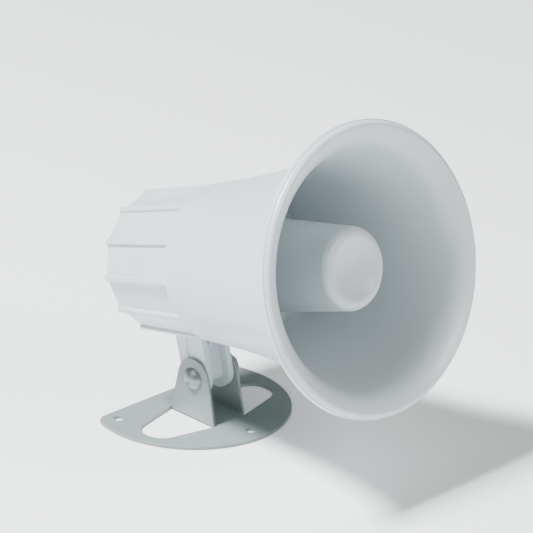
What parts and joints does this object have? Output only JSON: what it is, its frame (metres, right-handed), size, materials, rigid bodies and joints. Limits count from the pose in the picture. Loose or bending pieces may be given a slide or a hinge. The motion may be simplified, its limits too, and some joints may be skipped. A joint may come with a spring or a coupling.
{
  "type": "alarm siren",
  "caption": "Re-entrant horn siren: a white flared bell with a dished central plug and a ribbed driver housing, on a yoke that tilts on a grey stamped steel foot.",
  "frame": {"origin": "centre of the mounting disc, on its underside", "axes": "+Z out of the mounting surface, the mouth faces -Y, the tilt pivot lies along X"},
  "size_m": [0.1216, 0.1505, 0.1549],
  "materials": {
    "steel_grey_paint": "satin grey stoving paint",
    "zinc_plate": "bright zinc plate",
    "fibre_grey": "pressed fibre",
    "abs_white": "satin moulded ABS, cool white",
    "abs_black": "matt moulded plastic",
    "foam_black": "matt",
    "rubber_black": "matt",
    "cloth_brown": "resin-dipped cloth",
    "phenolic": "pressed phenolic cloth",
    "copper": "enamelled copper wire",
    "steel_zinc": "zinc-plated steel",
    "ferrite": "sintered ferrite",
    "board_brown": "phenolic paper board",
    "epoxy_black": "moulded epoxy",
    "aluminium": "mill finish",
    "can_sleeve": "shrunk sleeve",
    "resistor_tan": "lacquered",
    "terminal_green": "moulded nylon",
    "lead_red": "PVC sleeve",
    "screw_black": "blackened steel"
  },
  "bodies": {
    "bracket": {"base_bracket": "steel_grey_paint", "pivot_bolt": "zinc_plate", "pivot_washer": "zinc_plate", "pivot_nut": "zinc_plate", "friction_washers": "fibre_grey"},
    "head": {"horn_body": "abs_white", "reflector_plug": "abs_white", "throat_tube": "abs_white", "driver_gasket": "foam_black", "driver_front_ring": "abs_black", "diaphragm_surround": "cloth_brown", "top_plate": "steel_zinc", "ring_magnet": "ferrite", "back_plate": "steel_zinc", "terminal_strip": "board_brown", "driver_screws": "screw_black", "circuit_board": "board_brown", "siren_ic": "epoxy_black", "power_transistors": "epoxy_black", "heat_sink": "aluminium", "capacitor": "can_sleeve", "resistors": "resistor_tan", "supply_terminal": "terminal_green", "board_screws": "steel_zinc", "driver_leads": "lead_red", "rear_cover": "abs_white", "cover_gasket": "foam_black", "cover_screws": "steel_zinc", "cable_grommet": "rubber_black"},
    "diaphragm": {"diaphragm": "phenolic", "voice_coil": "copper"}
  },
  "joints": [
    {"name": "tilt", "type": "hinge", "parent": "bracket", "child": "head", "pos_m": [0, -0.01, 0.0188], "axis": [-1, 0, 0], "range_deg": [-18, 64]},
    {"name": "diaphragm_travel", "type": "slide", "parent": "head", "child": "diaphragm", "axis": [0, -0.9613, 0.2756], "range_m": [-0.0003, 0.0003], "stiffness_N_per_m": 400}
  ]
}
